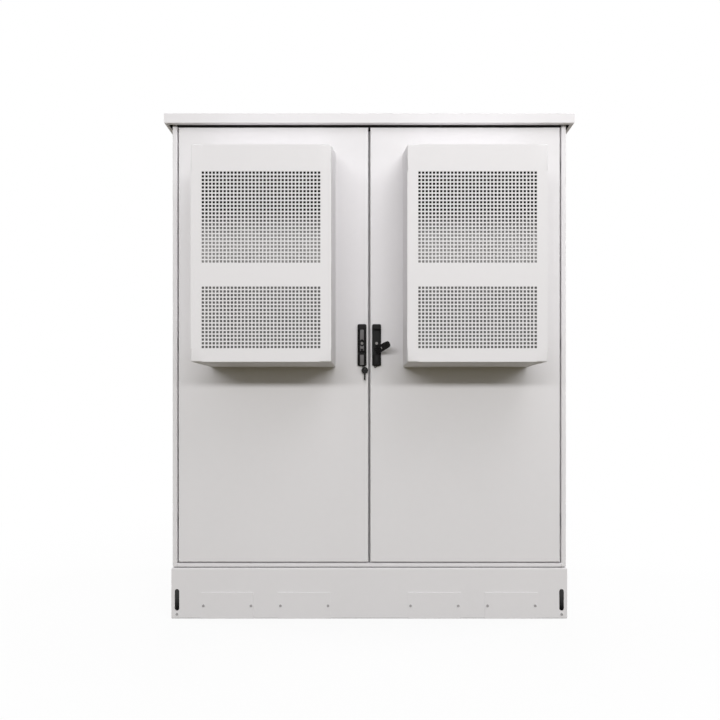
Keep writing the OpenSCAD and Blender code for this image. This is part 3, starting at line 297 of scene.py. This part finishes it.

# Carcass. Side sheets, front rails, centre post and ceiling are folded from one steel sheet each and
# powder coated before they are joined. The roof is a folded tray on two bearers. Its inside and the
# fold of the header that it covers are painted dark, a painted shade that makes a thin line over the
# doors.
# Painted shade for the roof's inside and the header's upper fold.
roof_painted_shade = linear(44, 43, 42)
sheet_skin = Vector((0.0016, 0.0016, 0.0016))
fold_gap = 0.003
roof_low, roof_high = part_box("roof_cap")
roof_hollow = (roof_low + sheet_skin, roof_high - sheet_skin)
header_low, header_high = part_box("front_header")
fold_above = Vector((0, 0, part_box("left_door_panel")[1].z - header_low.z + fold_gap))
header_fold = (header_low + fold_above - sheet_skin, header_high + sheet_skin)
roof_paint = powder_coat("roof_paint", paint_tone, roof_hollow, roof_painted_shade)
header_paint = powder_coat("header_paint", paint_tone, header_fold, roof_painted_shade)
finish_node(cabinet_paint, "left_side_panel", "right_side_panel", "front_sill", "centre_post",
            "ceiling_panel")
finish_node(roof_paint, "roof_cap")
finish_node(header_paint, "front_header")


# Back panels. Two painted sheets, each held to the rear flanges by two columns of button-head screws
# with a round socket.
def add_piece(name, bm, material, body, replaced=()):
    """A finished mesh as a piece that rides on its body, smooth where its faces turn a little."""
    smooth_turn = math.radians(32)
    mesh = bpy.data.meshes.new(name)
    bm.to_mesh(mesh)
    bm.free()
    mesh.shade_smooth()
    mesh.set_sharp_from_angle(angle=smooth_turn)
    mesh.materials.append(material)
    piece = bpy.data.objects.new(name, mesh)
    scene.collection.objects.link(piece)
    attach(piece, body)
    if replaced:
        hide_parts(*replaced)
    return piece


def button_screws(places, turn, head_d, head_h):
    """Screw heads at these places, which stand up along +Z before the turn."""
    round_h = head_h * 0.45
    crown_rim = head_d * 0.14
    socket_taper = head_d * 0.01
    socket_depth = head_h * 0.6
    up = (turn @ Vector((0, 0, 1))).normalized()
    bm = bmesh.new()
    for place in places:
        stand = Matrix.Translation(place) @ turn @ Matrix.Translation((0, 0, head_h / 2))
        head = bmesh.ops.create_cone(bm, cap_ends=True, segments=20, radius1=head_d / 2,
                                     radius2=head_d / 2, depth=head_h, matrix=stand)
        faces = {face for vert in head["verts"] for face in vert.link_faces}
        crown = next(face for face in faces if face.normal.dot(up) > 0.9)
        bmesh.ops.bevel(bm, geom=crown.edges[:], offset=round_h, segments=3, profile=0.5,
                        affect="EDGES", material=-1)
        crown = min((face for face in bm.faces if face.normal.dot(up) > 0.99),
                    key=lambda face: (face.calc_center_median() - place).length)
        bmesh.ops.inset_individual(bm, faces=[crown], thickness=crown_rim, depth=0)
        bmesh.ops.inset_individual(bm, faces=[crown], thickness=socket_taper, depth=-socket_depth)
    return bm


screw_d, screw_h = 0.011, 0.0028
screw_edge = 0.016
screw_rows = 7
row_inset = 0.4
back_low, back_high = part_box("back_panels")
screw_columns = (back_low.x + screw_edge, -screw_edge, screw_edge, back_high.x - screw_edge)
back_places = []
for column in screw_columns:
    for row in range(screw_rows):
        share = (row + row_inset) / (screw_rows - 1 + 2 * row_inset)
        height = back_low.z + share * (back_high.z - back_low.z)
        back_places.append(Vector((column, back_high.y, height)))
facing_back = Matrix.Rotation(math.radians(-90), 4, "X")
add_piece("back_panel_screws", button_screws(back_places, facing_back, screw_d, screw_h),
          bright_steel, "cabinet")
finish_node(cabinet_paint, "back_panels")


# Floor, gland plates, divider and rack rails. Bare zinc-coated sheet, with the soft patchwork of
# crystals that the zinc bath leaves.
def zinc_coat(name, tone, metallic):
    """Zinc-coated sheet with a patchwork of crystals."""
    material, wire = new_material(name)
    place = wire.add("TexCoord", out="Object")
    crystal = wire.add("TexVoronoi", {"feature": "F1"}, "Color", Vector=place, Scale=70.0)
    grey = wire.add("RGBToBW", Color=crystal)
    fine = wire.add("TexNoise", Vector=place, Scale=240.0, Detail=3.0)
    zinc = wire.add("BsdfPrincipled", Metallic=metallic, Roughness=0.34 + grey * 0.18,
                    Base_Color=(grey * 0.7 + fine * 0.3).blend(scaled(tone, 0.8), tone),
                    Normal=wire.add("Bump", Strength=0.06, Distance=0.0004, Height=grey + fine))
    end_with(wire, zinc)
    return material


zinc_sheet = zinc_coat("zinc_sheet", linear(205, 207, 208), metallic=0.75)
finish_node(zinc_sheet, "floor_panel", "gland_plates", "bay_divider", "left_bay_rails",
            "right_bay_rails")


# Earth bar. A rolled copper bar with a row of holes for the earth leads. It stands on two insulating
# pillars of dull red plastic, which belong to the same node.
def rolled_metal(wire, place, tone, stain_tone):
    """Bare metal with fine marks along the rolling direction and slow stains."""
    stretched = wire.add("Mapping", Vector=place, Scale=(700.0, 700.0, 12.0))
    roll = wire.add("TexNoise", Vector=stretched, Scale=1.0, Detail=3.0)
    stain = wire.add("TexNoise", Vector=place, Scale=25.0, Detail=4.0)
    return wire.add("BsdfPrincipled", Base_Color=stain.blend(tone, stain_tone), Metallic=1.0,
                    Roughness=0.26 + roll * 0.2,
                    Normal=wire.add("Bump", Strength=0.06, Distance=0.0002, Height=roll))


bar_t = 0.005
bar_seat = 0.00002
bar_copper, wire = new_material("bare_copper")
place = wire.add("TexCoord", out="Object")
bar = rolled_metal(wire, place, linear(206, 132, 92), linear(150, 88, 60))
fleck = wire.add("TexNoise", Vector=place, Scale=300.0, Detail=2.0)
pillar = wire.add("BsdfPrincipled", Roughness=0.45 + fleck * 0.15,
                  Base_Color=fleck.blend(linear(122, 46, 38), linear(142, 60, 48)))
past_bar = wire.maths("LESS_THAN", wire.add("SeparateXYZ", out="X", Vector=place),
                      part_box("earth_bar")[1].x - bar_t - bar_seat)
end_with(wire, wire.add("MixShader", _0=past_bar, _1=bar, _2=pillar))
finish_node(bar_copper, "earth_bar")

# Doors and hinges. Each door is a tray of painted sheet with returned edges, hung on three plated
# hinges: a bracket on the carcass, and a leaf with its pin on the back of the door.
sides = ("left", "right")
for side in sides:
    finish_node(cabinet_paint, side + "_door_panel")
    finish_node(bright_steel, side + "_hinge_brackets", side + "_hinge_leaves")

# Rain hoods. Each is one painted sheet, punched with two fields of square holes and folded back on
# four sides into a box with a sloping top, which is fixed to the door from inside. A field is given
# by the height of its foot above the hood's, and by its rows of holes.
hood_sheet = 0.0015
hood_bend = 0.005
hood_front_h = 0.758
hole = 0.0084
pitch_x = 0.01265
pitch_z = 0.0129
hole_columns = 33
fields = ((0.045, 17), (0.343, 25))
hair = 1e-6


def hole_edges(start, pitch, count):
    """Both edges of each hole in a row, from the start of the field."""
    web = (pitch - hole) / 2
    return [start + i * pitch + edge for i in range(count) for edge in (web, web + hole)]


def on_rim(edge):
    """True along the border of the flat grid, which reaches 0.5 from its middle each way."""
    ends = edge.verts[0].co + edge.verts[1].co
    return edge.is_boundary and max(abs(ends.x), abs(ends.y)) > 0.999


def on_corner(edge, low, high):
    """True for a fold that runs back from a corner of the front."""
    shortest_fold = 0.1
    first, second = (vert.co for vert in edge.verts)
    upper_z = max(first.z, second.z)
    return (abs(first.y - second.y) > shortest_fold
            and {round(first.x, 5), round(second.x, 5)} <= {round(low.x, 5), round(high.x, 5)}
            and (upper_z > high.z - hair or upper_z < low.z + hair))


for side in sides:
    low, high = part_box(side + "_hood")
    top = low.z + hood_front_h
    xs = [low.x, *hole_edges(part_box(side + "_screens")[0].x, pitch_x, hole_columns), high.x]
    zs = [low.z]
    for foot, hole_rows in fields:
        zs += hole_edges(low.z + foot, pitch_z, hole_rows)
    zs.append(top)
    columns, rows = len(xs) - 1, len(zs) - 1
    bm = bmesh.new()
    bmesh.ops.create_grid(bm, x_segments=columns, y_segments=rows, size=0.5)
    middles = [(face, face.calc_center_median()) for face in bm.faces]
    punched = [face for face, middle in middles
               if int((middle.x + 0.5) * columns) % 2 and int((middle.y + 0.5) * rows) % 2]
    bmesh.ops.delete(bm, geom=punched, context="FACES")
    rim = [edge for edge in bm.edges if on_rim(edge)]
    for vert in bm.verts:
        column, row = round((vert.co.x + 0.5) * columns), round((vert.co.y + 0.5) * rows)
        vert.co = (xs[column], low.y, zs[row])
    walls = bmesh.ops.extrude_edge_only(bm, edges=rim)["geom"]
    for vert in (part for part in walls if isinstance(part, bmesh.types.BMVert)):
        vert.co.y = high.y
        if vert.co.z > top - hair:
            vert.co.z = high.z
    corners = [edge for edge in bm.edges if on_corner(edge, low, high)]
    bmesh.ops.bevel(bm, geom=rim + corners, offset=hood_bend, segments=4, profile=0.5,
                    affect="EDGES", material=-1)
    bmesh.ops.recalc_face_normals(bm, faces=bm.faces[:])
    if min(bm.faces, key=lambda face: face.calc_center_median().y).normal.y > 0:
        bmesh.ops.reverse_faces(bm, faces=bm.faces[:])
    bmesh.ops.solidify(bm, geom=bm.faces[:], thickness=hood_sheet)
    add_piece(side + "_punched_hood", bm, cabinet_paint, side + "_door",
              (side + "_hood", side + "_screens"))


# Filter mats. Pads of matted grey fibre that lie behind the punched fields, thinner at their edges.
# Their dark top is painted shade; lower down they are painted paler with light and dusty patches,
# half as much on the lower pads.
def fibre_mat(name, tone, light_dust_tone, shaded_top_z, lower_z, lower_light_share):
    """Matted fibre with painted light and dust, fading upwards into painted shade, a share below
    lower_z.
    """
    material, wire = new_material(name)
    place = wire.add("TexCoord", out="Object")
    fibres = wire.add("TexNoise", Vector=place, Scale=420.0, Detail=4.0, Roughness=0.7)
    patches = wire.add("TexNoise", Vector=place, Scale=26.0, Detail=3.0)
    height = wire.add("SeparateXYZ", out="Z", Vector=place)
    light_and_dust = height.ramp(*shaded_top_z, 1.0, 0.0) * height.ramp(*lower_z, lower_light_share, 1.0)
    share = light_and_dust * (0.45 + patches * 0.7) + fibres * 0.3 - 0.15
    mat = wire.add("BsdfPrincipled", Base_Color=share.blend(tone, light_dust_tone), Roughness=0.9,
                   Specular_IOR_Level=0.12,
                   Normal=wire.add("Bump", Strength=0.6, Distance=0.001, Height=fibres))
    end_with(wire, mat)
    return material


# The near-black fibre tone is painted shade; the pale tone is painted light mixed with dust.
filter_fibre = fibre_mat("filter_fibre", linear(18, 18, 18), linear(148, 147, 147),
                         shaded_top_z=(1.40, 1.53), lower_z=(1.25, 1.33), lower_light_share=0.5)
mat_lap = 0.010
mat_cuts = 30
mat_thin = 0.004
mat_loft = 0.0015
loft_scale = 24
edge_reach = 0.022
for side in sides:
    low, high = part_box(side + "_filter_mats")
    hood_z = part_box(side + "_hood")[0].z
    bm = bmesh.new()
    for foot, hole_rows in fields:
        pad_low = Vector((low.x, low.y, hood_z + foot - mat_lap))
        pad_high = Vector((high.x, high.y, hood_z + foot + hole_rows * pitch_z + mat_lap))
        size = pad_high - pad_low
        stand = Matrix.Translation((pad_low + pad_high) / 2) @ Matrix.Diagonal((*size, 1))
        block = bmesh.ops.create_cube(bm, size=1, matrix=stand)["verts"]
        edges = list({edge for vert in block for edge in vert.link_edges})
        bmesh.ops.subdivide_edges(bm, edges=edges, cuts=mat_cuts, use_grid_fill=True)
        for vert in bm.verts:
            if not pad_low.z - hair < vert.co.z < pad_high.z + hair:
                continue
            inward = min(vert.co.x - pad_low.x, pad_high.x - vert.co.x,
                         vert.co.z - pad_low.z, pad_high.z - vert.co.z)
            edge_share = max(0.0, 1 - inward / edge_reach) ** 2
            depth = (vert.co.y - pad_low.y) / size.y
            loft = noise.noise(vert.co * loft_scale) * 0.5 + 0.5
            vert.co.y -= depth * (mat_thin * edge_share + mat_loft * loft)
    pads = add_piece(side + "_filter_pads", bm, filter_fibre, side + "_door",
                     (side + "_filter_mats",))


# Cooling units. In each hood a case of zinc-coated sheet holds a stack of rolled aluminium plates,
# with one fan to the outside and one to the inside, moulded in black glass-filled plastic.
def moulded_plastic(name, tone):
    """Moulded plastic with a fine fleck of its filling."""
    material, wire = new_material(name)
    place = wire.add("TexCoord", out="Object")
    fleck = wire.add("TexNoise", Vector=place, Scale=420.0, Detail=3.0)
    plastic = wire.add("BsdfPrincipled", Base_Color=fleck.blend(tone, scaled(tone, 1.6)),
                       Roughness=0.5 + fleck * 0.15,
                       Normal=wire.add("Bump", Strength=0.1, Distance=0.0003, Height=fleck))
    end_with(wire, plastic)
    return material


case_sheet = zinc_coat("case_sheet", linear(214, 215, 216), metallic=0.45)
fan_plastic = moulded_plastic("fan_plastic", linear(46, 46, 48))
core_aluminium, wire = new_material("core_aluminium")
end_with(wire, rolled_metal(wire, wire.add("TexCoord", out="Object"),
                            linear(216, 218, 220), linear(188, 190, 193)))
for side in sides:
    finish_node(case_sheet, side + "_cooler_case")
    finish_node(core_aluminium, side + "_cooler_core")
    finish_node(fan_plastic, side + "_fan_frames", side + "_front_fan", side + "_rear_fan")


# Swing handles. Zinc castings with a satin black coat: base, lever and spindle. Base and lever are
# eased at their edges.
# The left one carries a painted sheen: its forward flats are painted paler.
# A spare key hangs on it by a ring.
def black_coat(name, tone, sheen_front=None, sheen_tone=None):
    """Satin black coat with a fine grain. Faces in front of the given depth carry a paler painted
    sheen.
    """
    material, wire = new_material(name)
    place = wire.add("TexCoord", out="Object")
    grain = wire.add("TexNoise", Vector=place, Scale=1500.0, Detail=2.0)
    rub = wire.add("TexNoise", Vector=place, Scale=45.0, Detail=3.0)
    colour = rub.blend(tone, scaled(tone, 1.6))
    if sheen_front is not None:
        depth = wire.add("SeparateXYZ", out="Y", Vector=place)
        colour = wire.maths("LESS_THAN", depth, sheen_front).blend(colour, sheen_tone)
    coat = wire.add("BsdfPrincipled", Base_Color=colour, Roughness=0.42 + rub * 0.18,
                    Specular_IOR_Level=0.12,
                    Normal=wire.add("Bump", Strength=0.15, Distance=0.0003, Height=grain))
    end_with(wire, coat)
    return material


def eased(node, edge_r):
    """A merged copy of a cast solid with its sharp edges rounded."""
    same_place = 2e-6
    flat_turn, sharp_turn = math.radians(0.5), math.radians(30)
    bm = bmesh.new()
    bm.from_mesh(nodes[node].data)
    bmesh.ops.remove_doubles(bm, verts=bm.verts[:], dist=same_place)
    bmesh.ops.dissolve_limit(bm, angle_limit=flat_turn, verts=bm.verts[:], edges=bm.edges[:])
    sharp = [edge for edge in bm.edges if edge.is_manifold and edge.calc_face_angle() > sharp_turn]
    bmesh.ops.bevel(bm, geom=sharp, offset=edge_r, segments=2, profile=0.5, affect="EDGES",
                    material=-1, clamp_overlap=True)
    return bm


cast_edge = 0.0005
flat_rise = 0.02145
casting_tone = linear(20, 19, 19)
black_casting = black_coat("black_casting", casting_tone)
# The left handle's front flats are painted paler, a painted sheen.
sheen_casting = black_coat("sheen_casting", casting_tone, door_face - flat_rise,
                            linear(108, 106, 107))
plug_steel = plated_steel("plug_steel", linear(112, 110, 108), polish=0.42)
for side in sides:
    casting = sheen_casting if side == "left" else black_casting
    add_piece(side + "_base_casting", eased(side + "_handle_base", cast_edge), casting,
              side + "_door", (side + "_handle_base",))
    add_piece(side + "_lever_casting", eased(side + "_lever", cast_edge), casting,
              side + "_lever", (side + "_lever",))
    finish_node(black_casting, side + "_spindle")
    finish_node(plug_steel, side + "_lock_plug")
    finish_node(bright_steel, side + "_lever_pin")
finish_node(black_casting, "key_set")

# Rod locks. Behind each handle a pinion on the spindle drives two plated rods, one up and one down,
# through the racks that are cut on them. A pressed steel case covers the pinion and racks.
for side in sides:
    finish_node(bright_steel, side + "_lock_case", side + "_upper_rod", side + "_lower_rod")
